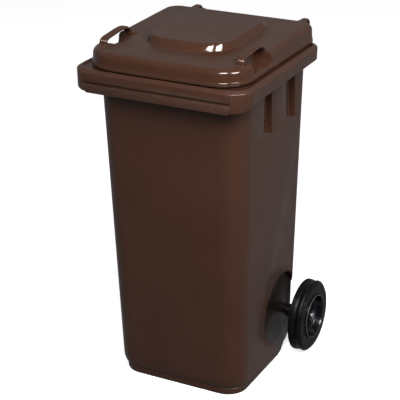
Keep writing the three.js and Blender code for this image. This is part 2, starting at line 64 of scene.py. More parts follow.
RIM_TOP, RIM_CORNER, RIM_SKIN, SKIRT_BOTTOM = 877.0, 58.0, 3.6, 845.0
COMB_BOTTOM, COMB_HALF, COMB_FRONT, COMB_SLOPE = 823.0, 203.0, -231.0, -150.0
COMB_BEAM, COMB_PITCH, COMB_RIB, COMB_CORNER = 10.0, 48.0, 3.0, 12.0
COMB_RIB_TOP, COMB_RIB_REAR = 874.0, -172.0
GROOVE_LOW, GROOVE_HIGH = 846.0, 854.0
WALL = 3.6
FLOOR_TOP = 5.5
NECK_Z, FOOT_Z, HEEL_Z = 823.0, 20.0, 66.0
# Half width, front and rear of the body at the foot band and at the neck.
FOOT_PLAN = (185.0, -143.5, 225.0)
NECK_PLAN = (204.5, -174.0, 239.5)
FOOT_REAR = 186.0  # the rear wall curls forward to here at the ground
BODY_CORNER = 58.0

# Planes past the body's sides, rear wall and underside, to which the cutters reach.
BESIDE, BEHIND, BELOW = 216.0, 265.0, -12.0


def smooth(t):
    t = np.clip(t, 0.0, 1.0)
    return t * t * (3 - 2 * t)


def mix(a, b, t):
    return a + (b - a) * t


# ---------- mesh helpers
def to_frame(points):
    """Millimetres round the rim's middle to metres in the frame."""
    return (np.asarray(points, float) - (0, SHIFT, 0)) / 1000


def placed(name, data):
    """A new object in the scene."""
    obj = bpy.data.objects.new(name, data)
    bpy.context.scene.collection.objects.link(obj)
    return obj


def new_object(name, points, faces):
    """A mesh from points in millimetres, with all its faces turned outwards."""
    mesh = bpy.data.meshes.new(name)
    mesh.from_pydata(to_frame(points).tolist(), [], faces)
    mesh.update()
    bm = bmesh.new()
    bm.from_mesh(mesh)
    bmesh.ops.remove_doubles(bm, verts=bm.verts, dist=1e-7)
    bmesh.ops.recalc_face_normals(bm, faces=bm.faces)
    bm.to_mesh(mesh)
    bm.free()
    return placed(name, mesh)


def shade(obj, degrees=32):
    """Smooth shading that keeps edges sharper than the given angle."""
    mesh = obj.data
    mesh.polygons.foreach_set("use_smooth", [True] * len(mesh.polygons))
    bm = bmesh.new()
    bm.from_mesh(mesh)
    limit = math.radians(degrees)
    for edge in bm.edges:
        edge.smooth = len(edge.link_faces) == 2 and edge.calc_face_angle(0.0) < limit
    bm.to_mesh(mesh)
    bm.free()
    return obj


def settle(obj):
    """Applies the object's modifiers."""
    graph = bpy.context.evaluated_depsgraph_get()
    graph.update()
    made = bpy.data.meshes.new_from_object(obj.evaluated_get(graph))
    obj.modifiers.clear()
    obj.data = made
    return obj


def cut(obj, others, operation="DIFFERENCE"):
    for other in others:
        step = obj.modifiers.new("cut", "BOOLEAN")
        step.operation = operation
        step.solver = "EXACT"
        step.object = other
        settle(obj)
        bpy.data.objects.remove(other)
    return obj


def bevel(obj, width, segments=2, degrees=38):
    step = obj.modifiers.new("bevel", "BEVEL")
    step.width = width / 1000
    step.segments = segments
    step.limit_method = "ANGLE"
    step.angle_limit = math.radians(degrees)
    step.miter_outer = "MITER_ARC"
    return settle(obj)


def join(name, parts):
    bm = bmesh.new()
    for part in parts:
        bm.from_mesh(part.data)
    mesh = bpy.data.meshes.new(name)
    bm.to_mesh(mesh)
    bm.free()
    for part in parts:
        bpy.data.objects.remove(part)
    return placed(name, mesh)


def mirrored(obj, name):
    twin = placed(name, obj.data.copy())
    twin.data.transform(Matrix.Scale(-1, 4, Vector((1, 0, 0))))
    twin.data.flip_normals()
    return twin


def grid_faces(rows, columns, closed=False):
    """Quads between rows of equal length; closed joins the last column to the first."""
    faces = []
    for r in range(rows - 1):
        for c in range(columns if closed else columns - 1):
            d = (c + 1) % columns
            a = r * columns
            faces.append((a + c, a + d, a + columns + d, a + columns + c))
    return faces


def block(name, x, y, z):
    points = [(a, b, c) for c in z for b in y for a in x]
    faces = [(0, 2, 3, 1), (4, 5, 7, 6), (0, 1, 5, 4), (1, 3, 7, 5), (3, 2, 6, 7), (2, 0, 4, 6)]
    return new_object(name, points, faces)


def plate(name, outline_yz, x0, x1):
    """A profile in (y, z) given thickness along X."""
    n = len(outline_yz)
    points = [(x, y, z) for x in (x0, x1) for y, z in outline_yz]
    faces = [tuple(range(n)), tuple(range(2 * n - 1, n - 1, -1))]
    faces += [(i, (i + 1) % n, n + (i + 1) % n, n + i) for i in range(n)]
    return new_object(name, points, faces)


def arc(x, y, radius, start, end, steps):
    """Points round a centre between two angles in degrees."""
    angles = np.radians(np.linspace(start, end, steps + 1))
    return [(x + radius * math.cos(a), y + radius * math.sin(a)) for a in angles]


def turned(name, profile, y, z, segments):
    """A closed profile in (radius, x) turned about the line along X through (y, z)."""
    points = [(x, *p) for r, x in profile for p in arc(y, z, r, 0, 360, segments)[:-1]]
    faces = grid_faces(len(profile), segments, closed=True)
    last = len(points) - segments
    faces += [(last + k, last + (k + 1) % segments, (k + 1) % segments, k) for k in range(segments)]
    return new_object(name, points, faces)


def rounded(points, radius=1.0, steps=3):
    """Rounds each corner of a closed 2-D outline."""
    made = []
    n = len(points)
    pts = [np.array(p[:2], float) for p in points]
    for i in range(n):
        r = points[i][2] if len(points[i]) > 2 else radius
        before, here, after = pts[i - 1], pts[i], pts[(i + 1) % n]
        u, v = before - here, after - here
        lu, lv = np.linalg.norm(u), np.linalg.norm(v)
        u, v = u / lu, v / lv
        corner = math.acos(float(np.clip(u @ v, -1, 1)))
        reach = min(r / math.tan(corner / 2) if corner > 0.01 else 0, lu * 0.45, lv * 0.45)
        nearly_straight = corner > math.pi - 0.05
        if r <= 0 or reach < 1e-3 or nearly_straight:
            made.append(tuple(here))
            continue
        a, b = here + u * reach, here + v * reach
        for k in range(steps + 1):
            t = k / steps
            made.append(tuple((1 - t) ** 2 * a + 2 * t * (1 - t) * here + t * t * b))
    return made


# ---------- body shell
def rounded_rectangle(half, front, rear, corner):
    centres = [(half - corner, rear - corner), (corner - half, rear - corner),
               (corner - half, front + corner), (half - corner, front + corner)]
    points = []
    for quarter, (x, y) in enumerate(centres):
        points += arc(x, y, corner, 90 * quarter, 90 * quarter + 90, 14)
    return points


def body_ring(z, inset):
    t = (z - FOOT_Z) / (NECK_Z - FOOT_Z)
    half, front, rear = (mix(low, high, t) for low, high in zip(FOOT_PLAN, NECK_PLAN))
    curl = (rear - FOOT_REAR) * min(max(1 - z / HEEL_Z, 0), 1) ** 1.8
    corner = BODY_CORNER - inset * 0.4
    flat = rounded_rectangle(half - inset, front + inset, rear - inset - curl, corner)
    return [(x, y, z) for x, y in flat]


def rim_ring(z, inset):
    half, front, rear = RIM_HALF - inset, RIM_FRONT + inset, RIM_REAR - inset
    return [(x, y, z) for x, y in rounded_rectangle(half, front, rear, RIM_CORNER - inset)]


def skirt_ring(rise, inset):
    """A ring along the skirt's lower edge, which drops towards the front corners."""
    made = []
    for x, y, _ in rim_ring(0, inset):
        t = float(np.clip((COMB_SLOPE - y) / (COMB_SLOPE - RIM_FRONT), 0, 1))
        eased = t - 0.06 * math.sin(2 * math.pi * t)
        made.append((x, y, mix(SKIRT_BOTTOM, COMB_BOTTOM + 3, eased) + rise))
    return made


def skin(name, rings):
    """A closed solid over rings of points."""
    points = [p for ring in rings for p in ring]
    count = len(rings[0])
    faces = grid_faces(len(rings), count, closed=True)
    faces.append(tuple(range(count))[::-1])
    faces.append(tuple(range(len(points) - count, len(points))))
    return new_object(name, points, faces)


# Height and inset of the rings from the ground over the foot band, its soft groove and up to the wall.
FOOT_STEPS = [(0, 10.6), (0.4, 9.2), (1.2, 8.2), (2.6, 7.6), (5, 7.3), (17.6, 7.0), (19.2, 7.1),
              (20.1, 7.7), (20.5, 8.6), (21.0, 8.7), (21.6, 7.9), (22.6, 6.5), (24.4, 4.8), (27, 3.2),
              (31, 1.9), (36, 0.9), (42, 0.25), (48, 0)]
WALL_STEPS = [54, 60, HEEL_Z, 80, 690]
# Height over the rim's flat top and inset, from the skirt's outer face over the raised shoulder.
RIM_STEPS = [(-11, 0.25), (-3.6, 0.1), (-2.1, 0.45), (-1, 1.2), (-0.4, 2.2), (-0.2, 3.6), (0.4, 5.0),
             (1.9, 6.4), (3.2, 8.0), (4.0, 10.0), (4.2, 12.0), (3.4, 13.6), (1.4, 14.8), (0.2, 16.0),
             (0, 19.0)]
# Rise and inset round the skirt's soft lower edge, from its inner to its outer face.
SKIRT_STEPS = [(2.5, 3.6), (0.8, 3.4), (0.1, 2.8), (0, 1.9), (0.4, 1.1), (1.4, 0.75)]


def outer_solid():
    web = RIM_TOP - RIM_SKIN
    under_rim = RIM_TOP - 11
    rings = [body_ring(z, inset) for z, inset in FOOT_STEPS]
    rings += [body_ring(z, 0) for z in (*WALL_STEPS, under_rim)]
    rings += [body_ring(869.5, -0.5), body_ring(872, -1.6), body_ring(web, -4.2)]
    rings += [rim_ring(web, 7.5), rim_ring(web - 0.7, 5.2), rim_ring(web - 2.6, 3.9)]
    rings += [rim_ring(under_rim, 3.6)]
    rings += [skirt_ring(rise, inset) for rise, inset in SKIRT_STEPS]
    rings += [rim_ring(RIM_TOP + rise, inset) for rise, inset in RIM_STEPS]
    return skin("body_shell", rings)


def inner_solid():
    steps = [(FLOOR_TOP, 22), (FLOOR_TOP + 1.2, 16.5), (FLOOR_TOP + 5, 12.4), (FLOOR_TOP + 11, 10.8),
             (24, 10.4), (30, 7), (38, WALL + 1.2), (48, WALL)]
    steps += [(z, WALL) for z in (*WALL_STEPS, NECK_Z, RIM_TOP + 1)]
    return skin("inside", [body_ring(z, inset) for z, inset in steps])


POCKET_TOP, POCKET_LOW_FRONT, POCKET_LOW_REAR = 838.0, 720.0, 701.0
POCKET_FLOOR, POCKET_RIB, POCKET_RIB_FACE = 187.0, 4.0, 196.0
# Each pocket's y at its top front, top rear, bottom rear and bottom front.
POCKET_BAYS = [(-46, -4, 7, -43), (83, 136, 150, 93)]


def pocket_cutters(wall):
    """The side pockets; with a wall, the thicker blocks that keep the body's inside clear of them."""
    high = RIM_TOP + 3 if wall else POCKET_TOP
    made = []
    for side in (-1, 1):
        for top_front, top_rear, low_rear, low_front in POCKET_BAYS:
            outline = [(top_front - wall, high), (low_front - wall, POCKET_LOW_FRONT - wall),
                       (low_rear + wall, POCKET_LOW_REAR - wall), (top_rear + wall, high)]
            bay = plate("pocket", outline, *sorted((side * (POCKET_FLOOR - wall), side * BESIDE)))
            if not wall:
                bay = cut(bay, [pocket_rib(side, (top_front + top_rear) / 2, (low_front + low_rear) / 2)])
            made.append(bay)
    return made


def pocket_rib(side, upper, lower):
    """The upright rib on a pocket's floor, from y = upper at its top to y = lower."""
    half, top, bottom = POCKET_RIB / 2, POCKET_TOP + 1, POCKET_LOW_REAR - 6
    outline = [(upper - half, top), (lower - half, bottom), (lower + half, bottom), (upper + half, top)]
    return plate("rib", outline, *sorted((side * (POCKET_FLOOR - 1), side * POCKET_RIB_FACE)))


ARCH_Y, ARCH_Z, ARCH_RADIUS, ARCH_FLOOR = 109.0, 155.0, 105.0, 174.0
# (y, z) from the front of the arch down to the foot band.
ARCH_FOOT = [(14.5, 122), (21, 107.5), (30, 95.5), (42, 84), (58, 72), (112, 20)]
ARCH_END = 134.0


def arch_cutters(wall):
    ring = arc(ARCH_Y, ARCH_Z, ARCH_RADIUS + wall, 22, 188, 40)
    foot = [(y - wall, z - wall) for y, z in ARCH_FOOT]
    outline = [(BEHIND, BELOW), (BEHIND, ring[0][1]), *ring, *foot, (ARCH_END, BELOW)]
    return [plate("arch", outline, *sorted((side * (ARCH_FLOOR - wall), side * BESIDE))) for side in (-1, 1)]


BAY_HALF, BAY_FRONT, BAY_TOP = 168.0, 158.0, 128.0


def bay_cutter(wall):
    """The bay under the raised rear floor that the axle crosses."""
    front, top = BAY_FRONT - wall, BAY_TOP + wall
    outline = [(front, BELOW), (BEHIND, BELOW), (BEHIND, top), (BAY_FRONT + 14, top), (front, top - 16)]
    half = BESIDE if wall else BAY_HALF
    return plate("bay", outline, -half, half)


def make_shell():
    outside = cut(outer_solid(), [*pocket_cutters(0), *arch_cutters(0), bay_cutter(0)])
    inside = cut(inner_solid(), [*pocket_cutters(WALL), *arch_cutters(WALL), bay_cutter(WALL)])
    through = (RIM_FRONT - 3, RIM_FRONT + RIM_SKIN + 1.5)
    comb_window = block("window", (-COMB_HALF, COMB_HALF), through, (COMB_BOTTOM - 4, GROOVE_HIGH))
    return shade(bevel(cut(outside, [inside, comb_window]), 1.5, 3))


def comb_corner(side):
    """A wedge that slants off one lower corner of the comb band."""
    out, inner = side * (COMB_HALF + 1), side * (COMB_HALF - COMB_CORNER)
    outline = [(out, COMB_BOTTOM - 3), (out, COMB_BOTTOM + COMB_CORNER),
               (inner, COMB_BOTTOM - 1), (inner, COMB_BOTTOM - 3)]
    points = [(x, y, z) for y in (COMB_FRONT - 3, COMB_FRONT + 14) for x, z in outline]
    faces = [(0, 1, 2, 3), (7, 6, 5, 4)] + [(i, (i + 1) % 4, 4 + (i + 1) % 4, 4 + i) for i in range(4)]
    return new_object("corner", points, faces)


def comb_rib(x, front, rear):
    half = COMB_RIB / 2
    return block("rib", (x - half, x + half), (front, rear), (COMB_BOTTOM + 8, COMB_RIB_TOP))


def make_comb():
    """The band under the front rim with the ribs between which a lifter's teeth enter."""
    face, floor, back = COMB_FRONT, COMB_FRONT + COMB_BEAM / 2, COMB_FRONT + COMB_BEAM
    section = rounded([(face, COMB_BOTTOM, 2), (face, GROOVE_LOW, 1.4), (floor, GROOVE_LOW, 0.4),
                       (floor, COMB_RIB_TOP, 0), (back, COMB_RIB_TOP, 0), (back, COMB_BOTTOM, 2)])
    beam = plate("comb_beam", section, -COMB_HALF + 0.3, COMB_HALF - 0.3)
    beam = bevel(cut(beam, [comb_corner(side) for side in (-1, 1)]), 1.0, 2)
    reach = 3.5 * COMB_PITCH
    ribs = [comb_rib(x, back - 1, COMB_RIB_REAR) for x in np.arange(-reach, reach + 1, COMB_PITCH)]
    ends = [comb_rib(side * COMB_HALF, RIM_FRONT + 2.2, COMB_RIB_REAR + 12) for side in (-1, 1)]
    return shade(join("comb_band", [beam, *[bevel(rib, 0.5, 2) for rib in ribs + ends]]))


# ---------- rear handle and axle supports
GRIP_Y, GRIP_Z, GRIP_RADIUS = 298.0, 882.0, 12.5
PLATE_IN, PLATE_OUT, PLATE_ROOT = 138.0, 148.5, RIM_REAR - 4
MIDDLE_PLATE = 5.0  # half the thickness of the plate in the middle
RIPPLE, RIPPLE_PITCH = 0.35, 10.0  # the grip's finger ridges
BORE = 10.3  # radius of the holes that the axle passes
EYE_BORE = 5.3  # radius of the holes for the hinge pins


def rod(name, radius, x0, x1, y, z, segments):
    """A plain round rod along X."""
    return turned(name, [(0, x0), (radius, x0), (radius, x1), (0, x1)], y, z, segments)


def grip_outline():
    end = arc(GRIP_Y, GRIP_Z, GRIP_RADIUS + 1.5, -75, 110, 14)
    return [(PLATE_ROOT, 838), (264, 853), (284, 866), *end, (266, 879), (PLATE_ROOT, 875)]


def eye_outline():
    eye = arc(HINGE_Y, HINGE_Z, 9.5, -40, 195, 24)
    return [(PLATE_ROOT, 845), (290, 872), *eye, (266, 882), (PLATE_ROOT, 875)]


def make_grip():
    reach = PLATE_OUT - 1
    body = []
    for x in np.arange(-130, 131, 2.5):
        rippled = MIDDLE_PLATE + 7 < abs(x) < 126
        swell = RIPPLE * math.cos(2 * math.pi * x / RIPPLE_PITCH) if rippled else 0
        body.append((GRIP_RADIUS - RIPPLE + swell, x))
    profile = [(0, -reach), (GRIP_RADIUS, -reach), *body, (GRIP_RADIUS, reach), (0, reach)]
    return turned("grip", profile, GRIP_Y, GRIP_Z, 40)


def make_handle():
    """The grip behind the rim on its three plates, the outer two with the hinge's eyes."""
    parts = [make_grip(), bevel(plate("plate", grip_outline(), -MIDDLE_PLATE, MIDDLE_PLATE), 1.2, 3)]
    for side in (-1, 1):
        x = sorted((side * PLATE_IN, side * PLATE_OUT))
        eye = plate("plate", eye_outline(), *x)
        hole = rod("hole", EYE_BORE, x[0] - 2, x[1] + 2, HINGE_Y, HINGE_Z, 32)
        parts += [bevel(plate("plate", grip_outline(), *x), 1.2, 3), bevel(cut(eye, [hole]), 1.0, 3)]
    return shade(join("rear_handle", parts))


BOSS_IN, BOSS_RADIUS = 152.0, 19.0
SUPPORT_X, SUPPORT_HALF = 55.0, 2.0  # the ribs in the bay that the axle passes through


def make_supports():
    """The bosses and ribs in the bay that carry the axle."""
    roof = BAY_TOP + 1
    web = [(BAY_FRONT - 1, 24), (193, 62), (222, 70), (224, roof), (BAY_FRONT - 1, roof)]
    parts = []
    for side in (-1, 1):
        end, root, middle = side * BOSS_IN, side * (ARCH_FLOOR + 1), side * SUPPORT_X
        boss = [(BORE, end), (BOSS_RADIUS - 1, end), (BOSS_RADIUS, end + side)]
        boss += [(BOSS_RADIUS, root), (BORE, root)]
        parts.append(turned("boss", boss, AXLE_Y, AXLE_Z, 48))
        rib = plate("rib", web, middle - SUPPORT_HALF, middle + SUPPORT_HALF)
        hole = rod("hole", BORE, middle - 4, middle + 4, AXLE_Y, AXLE_Z, 48)
        parts.append(bevel(cut(rib, [hole]), 0.8, 2))
        across, along = sorted((end, side * (ARCH_FLOOR - 2))), (AXLE_Y - 2, AXLE_Y + 2)
        parts.append(bevel(block("stay", across, along, (AXLE_Z + 17, roof)), 0.8, 2))
    return shade(join("axle_supports", parts))


# ---------- lid
LID_BOTTOM, LID_TOP, LID_HALF, LID_FRONT, LID_REAR, LID_BOW = 882.0, 923.0, 217.0, -212.0, 254.0, 5.0
LID_CORNER_FRONT, LID_CORNER_REAR, LID_SKIN = 80.0, 44.0, 3.5
SHOULDER, LID_RISE = 909.0, 6.0
ROLL_DROP, ROLL_REACH = 14.0, 18.0  # how far the lid's edge rolls down, and over what width
SCOOP_X, SCOOP_FRONT, SCOOP_REAR = 158.0, -131.0, -28.0
SCOOP_FLOOR, SCOOP_FALL = 909.0, 17 / 58  # the floor's height at its inner side, and its fall outwards
PANEL_HEIGHT = 19.0
# The raised panel's outline at its foot and on top: half width, front, rear, front corner, bow of the front.
PANEL_FOOT = (124.0, -121.0, 173.0, 45.0, 52.0)
PANEL_TOP = (114.0, -92.0, 148.0, 58.0, 9.0)
PANEL_REAR_CORNER = 22.0


def rect_distance(x, y, half, front, rear, corner_front, corner_rear):
    """How far inside a rounded rectangle each point is; negative outside."""
    corner = np.where(y < (front + rear) / 2, corner_front, corner_rear)
    px = np.abs(x) - (half - corner)
    py = np.maximum(front + corner - y, y - (rear - corner))
    outside = np.hypot(np.maximum(px, 0), np.maximum(py, 0))
    return corner - outside - np.minimum(np.maximum(px, py), 0)


def panel_rise(x, y, skin_in):
    """How far up the slope of the raised panel each point is, from 0 at its foot to 1 on top."""
    fade = smooth((60 - y) / 120)

    def shape(half, front, rear, corner, bow):
        bent = y + bow * np.clip(1 - (x / half) ** 2, 0, 1) * fade
        sides = (half - skin_in, front + bow + skin_in, rear - skin_in)
        return rect_distance(x, bent, *sides, corner, PANEL_REAR_CORNER)

    foot = shape(*PANEL_FOOT)
    top = shape(*PANEL_TOP)
    inside, outside = np.maximum(foot, 0), np.maximum(-top, 0)
    return np.where(top > 0, 1.0, inside / np.maximum(inside + outside, 1e-6))


def lid_height(x, y, skin_in=0.0):
    """The height of the lid's top skin, or of its underside with skin_in."""
    d = rect_distance(x, y, LID_HALF, LID_FRONT, LID_REAR, LID_CORNER_FRONT, LID_CORNER_REAR) - skin_in
    t = np.clip(1 - (d - 2) / ROLL_REACH, 0, 1)
    base = LID_TOP - skin_in - ROLL_DROP * (1 - np.sqrt(1 - t**2))
    slope = np.clip((panel_rise(x, y, skin_in) - 0.04) / 0.92, 0, 1)
    base = base + PANEL_HEIGHT * (0.7 * slope + 0.3 * smooth(slope))
    lip = np.clip(1 - d / 1.6, 0, 1)
    floor = SCOOP_FLOOR - (np.abs(x) - SCOOP_X - 5) * SCOOP_FALL - skin_in
    floor = floor - 1.6 * (1 - np.sqrt(1 - lip**2))
    into = in_scoop(x, y, skin_in)
    height = base * (1 - into) + np.minimum(base, floor) * into
    return height + climb(y, height)


def in_scoop(x, y, skin_in):
    """How far down a side scoop's walls each point is, from 0 outside to 1 on its floor."""
    along = np.minimum(y - SCOOP_FRONT + skin_in, SCOOP_REAR + skin_in - y) / 2.6 + 0.3
    return smooth((np.abs(x) - SCOOP_X + skin_in) / 6) * smooth(along)


def climb(y, z):
    """How much the lid's gentle slope up to the hinge lifts a point."""
    along = np.clip((y - LID_FRONT) / (LID_REAR - LID_FRONT), 0, 1)
    return LID_RISE * along * np.clip((z - LID_BOTTOM) / (SHOULDER - LID_BOTTOM), 0, 1)


def spaced(stops, step):
    """The stops with enough even points between them that none is further apart than step."""
    made = []
    for a, b in zip(stops, stops[1:]):
        n = max(1, math.ceil((b - a) / step - 1e-6))
        made += [a + (b - a) * k / n for k in range(n)]
    return np.array([*made, stops[-1]])


EDGE_STEPS = [0, 0.35, 0.9, 1.7, 2.8, 4.2, 6, 8.2, 11, 14.5, 18.5, 23]  # across the rolled edge
SCOOP_STEPS = [-0.8, -0.2, 0.4, 1.0, 1.6, 2.2]  # across a scoop's steep end walls


def lid_grid(skin_in):
    """Where the lid's skin has points across and along it, and how far out they reach."""
    half, front, rear = LID_HALF - 2 - skin_in, LID_FRONT + 2 + skin_in, LID_REAR - 2 - skin_in
    side = SCOOP_X - skin_in
    fine = 2.5 if skin_in else 1.0
    right = [40, *np.arange(50, 127, fine), 130]
    right += [side - 2, side, side + 3, side + 6, side + 8, half - EDGE_STEPS[-1]]
    right = [x for x in right if x < half - EDGE_STEPS[-1] + 0.5]
    right += [half - step for step in EDGE_STEPS[::-1]]
    xs = spaced([*[-x for x in right[::-1]], 0, *right], 5.0)
    scoop_front, scoop_rear = SCOOP_FRONT - skin_in, SCOOP_REAR + skin_in
    stops = [front + step for step in EDGE_STEPS] + [scoop_front - 6]
    stops += [scoop_front + step for step in SCOOP_STEPS] + [*np.arange(-126, -40, fine)]
    stops += [scoop_rear - step for step in SCOOP_STEPS] + [0, 60, 140]
    stops += [*np.arange(144, 178, 1 + fine / 2), 182, *[rear - step for step in EDGE_STEPS]]
    ys = spaced(sorted(stops), 4.0)
    return xs, ys, half, front, rear


def round_corners(x, y, half, front, rear, skin_in):
    """Draws the corners of a square-cornered grid in to the lid's rounded ones."""
    at_front = (LID_CORNER_FRONT - 2 - skin_in, front, -1)
    at_rear = (LID_CORNER_REAR - 2 - skin_in, rear, 1)
    for corner, end, sign in (at_front, at_rear):
        cx, cy = half - corner, end - sign * corner
        u = np.clip((np.abs(x) - cx) / corner, 0, 1)
        v = np.clip(sign * (y - cy) / corner, 0, 1)
        inside = (u > 0) & (v > 0)
        bent_u, bent_v = u * np.sqrt(1 - v**2 / 2), v * np.sqrt(1 - u**2 / 2)
        x = np.where(inside, np.sign(x) * (cx + bent_u * corner), x)
        y = np.where(inside, cy + sign * bent_v * corner, y)
    return x, y


def bowed(x, y):
    """Pushes the front edge's middle out."""
    return y - LID_BOW * np.clip(1 - (x / 190) ** 2, 0, 1) * smooth((-y - 130) / 70)


def lid_skin(skin_in):
    xs, ys, half, front, rear = lid_grid(skin_in)
    x, y = round_corners(*np.meshgrid(xs, ys), half, front, rear, skin_in)
    return x, y, lid_height(x, y, skin_in)


def border(rows, columns):
    """Indices of a grid's outer points in order."""
    first = [(0, c) for c in range(columns)]
    right = [(r, columns - 1) for r in range(1, rows)]
    last = [(rows - 1, c) for c in range(columns - 2, -1, -1)]
    left = [(r, 0) for r in range(rows - 2, 0, -1)]
    return first + right + last + left


def outward(x, y):
    """The direction straight out of the lid's outline at points near it."""
    step = 0.5
    args = (LID_HALF, LID_FRONT, LID_REAR, LID_CORNER_FRONT, LID_CORNER_REAR)
    gx = rect_distance(x - step, y, *args) - rect_distance(x + step, y, *args)
    gy = rect_distance(x, y - step, *args) - rect_distance(x, y + step, *args)
    length = np.maximum(np.hypot(gx, gy), 1e-9)
    return gx / length, gy / length


LIP_TOP = 891.0
# Height and swell of the rings down the lid's outer side, over its rolled lip.
LIP_STEPS = [(LIP_TOP + 0.9, 0), (LIP_TOP + 0.3, 0.12), (LIP_TOP - 0.2, 0.75), (LIP_TOP - 0.9, 1.0),
             (LID_BOTTOM + 1.0, 1.0), (LID_BOTTOM + 0.3, 0.6), (LID_BOTTOM, -0.1)]


def make_lid_shell():
    """The points and faces of the lid's two skins and their sides, and the loops round their lower edges."""
    points, faces, loops = [], [], []
    for skin_in in (0.0, LID_SKIN):
        x, y, z = lid_skin(skin_in)
        rows, columns = x.shape
        start = len(points)
        points += list(zip(x.ravel(), bowed(x, y).ravel(), z.ravel()))
        faces += [tuple(start + i for i in f) for f in grid_faces(rows, columns)]
        edge = border(rows, columns)
        after = [*range(1, len(edge)), 0]
        ex, ey, ez = (np.array([grid[i] for i in edge]) for grid in (x, y, z))
        nx, ny = outward(ex, ey)
        ring = [start + r * columns + c for r, c in edge]
        levels = [(mix(ez, LIP_TOP + 0.9, share), 0) for share in (0.35, 0.7)]
        levels += [(level, 0 if skin_in else swell) for level, swell in LIP_STEPS]
        for level, swell in levels:
            height = np.minimum(level, ez)
            out = (SHOULDER - height) * 2 / (SHOULDER - LID_BOTTOM) + swell
            below = list(range(len(points), len(points) + len(edge)))
            points += list(zip(ex + nx * out, bowed(ex, ey) + ny * out, height))
            faces += [(ring[i], ring[j], below[j], below[i]) for i, j in enumerate(after)]
            ring = below
        loops.append(ring)
    return points, faces, loops


def stitch(points, faces, outer, inner):
    """Closes the lid's lower edge between two loops of different lengths."""
    p = np.array(points)
    a, b = p[outer], p[inner]
    centre = a[:, :2].mean(0)
    ta = np.arctan2(a[:, 1] - centre[1], a[:, 0] - centre[0])
    tb = np.arctan2(b[:, 1] - centre[1], b[:, 0] - centre[0])
    oa, ob = np.argsort(ta), np.argsort(tb)
    outer, inner, ta, tb = np.array(outer)[oa], np.array(inner)[ob], ta[oa], tb[ob]
    i = j = 0
    while i < len(outer) or j < len(inner):
        na = ta[i] if i < len(outer) else math.inf
        nb = tb[j] if j < len(inner) else math.inf
        a0, b0 = int(outer[i % len(outer)]), int(inner[j % len(inner)])
        if na <= nb:
            faces.append((int(outer[i - 1]), a0, b0 if j < len(inner) else int(inner[0])))
            i += 1
        else:
            faces.append((a0 if i < len(outer) else int(outer[0]), b0, int(inner[j - 1])))
            j += 1


def normals_of(path):
    """The unit normals of a path in (y, z)."""
    tangent = np.gradient(path, axis=0)
    tangent /= np.linalg.norm(tangent, axis=1)[:, None]
    return np.c_[-tangent[:, 1], tangent[:, 0]]


STRAP_IN, STRAP_OUT, STRAP_HALF_THICK = 177.0, 198.0, 3.3


def make_strap():
    """The bridge over the right scoop, with ridges along it, swept along a smooth path."""
    stops = np.array([(-151.4, 908), (-150.9, 918), (-149.6, 927), (-146, 934), (-138, 937.6),
                      (-125, 939.2), (-100, 941.4), (-72, 943.2), (-52, 942.6), (-38, 938), (-29, 930),
                      (-25.6, 919), (-25, 908)])
    s = np.r_[0, np.cumsum(np.hypot(*np.diff(stops, axis=0).T))]
    t = np.linspace(0, s[-1], 90)
    path = np.c_[smooth_curve(s, stops[:, 0], t), smooth_curve(s, stops[:, 1], t)]
    middle, half = (STRAP_IN + STRAP_OUT) / 2, (STRAP_OUT - STRAP_IN) / 2
    across = np.linspace(-1, 1, 49)
    plain = STRAP_HALF_THICK - 0.75 - 1.5 * np.abs(across) ** 5
    ridges = (0.5 + 0.5 * np.cos(across * 4 * math.pi)) ** 1.5 * (1 - np.abs(across) ** 10)
    under = -STRAP_HALF_THICK + 1.2 * np.abs(across) ** 6
    both_ways = np.r_[across, across[::-1]]
    rings = []
    for along, p, n in zip(t, path, normals_of(path)):
        crown = plain + ridges * (1.2 + 0.8 * smooth((24 - along) / 12))
        depths = np.r_[crown, under[::-1]]
        rings.append([(middle + a * half, *(p + n * d)) for a, d in zip(both_ways, depths)])
    return skin("strap", rings)


def smooth_curve(s, values, at):
    """A cubic curve through the values at the stops s."""
    slopes = np.gradient(values, s)
    k = np.clip(np.searchsorted(s, at, side="right") - 1, 0, len(s) - 2)
    h = s[k + 1] - s[k]
    u = (at - s[k]) / h
    return (values[k] * (1 + 2 * u) * (1 - u) ** 2 + values[k + 1] * u**2 * (3 - 2 * u)
            + h * slopes[k] * u * (1 - u) ** 2 + h * slopes[k + 1] * u**2 * (u - 1))


ARM_IN, ARM_OUT, WEB_IN, WEB_OUT, ARM_RADIUS = 150.0, 168.0, 155.0, 163.0, 17.0


def make_arm():
    """The right hinge arm: a channel-shaped hood swept over a web with the pin's eye in it."""
    top = HINGE_Z + ARM_RADIUS
    run = [(y, top) for y in np.linspace(LID_REAR - 7, HINGE_Y - 2, 10)]
    curl = arc(HINGE_Y, HINGE_Z, ARM_RADIUS, 90, -58, 30)
    path = np.array(run + curl)
    edge, middle = (ARM_IN - ARM_OUT) / 2, (ARM_IN + ARM_OUT) / 2
    outer = [(edge, -6.0), (edge, -4.2), (edge + 0.5, -2.4), (edge + 1.6, -1.0), (edge + 3.2, -0.25), (-3, 0)]
    inner = [(edge + 2.4, -6.0), (edge + 2.6, -4.4), (edge + 3.8, -3.4), (-3, -3.2)]
    section = outer + [(-x, d) for x, d in outer[::-1]] + [(-x, d) for x, d in inner] + inner[::-1]
    rings = [[(middle + x, *(p + n * d)) for x, d in section] for p, n in zip(path, normals_of(path))]
    hood = bevel(skin("hood", rings), 0.5, 2, 50)
    web_outline = [(LID_REAR - 7, top - 1.5), *arc(HINGE_Y, HINGE_Z, ARM_RADIUS - 1.5, 90, -55, 16),
                   (HINGE_Y - 4, HINGE_Z - 14), (LID_REAR - 7, 886)]
    web = plate("web", web_outline, WEB_IN, WEB_OUT)
    hole = rod("hole", EYE_BORE, WEB_IN - 4, WEB_OUT + 4, HINGE_Y, HINGE_Z, 32)
    return join("arm", [hood, bevel(cut(web, [hole]), 0.8, 2)])


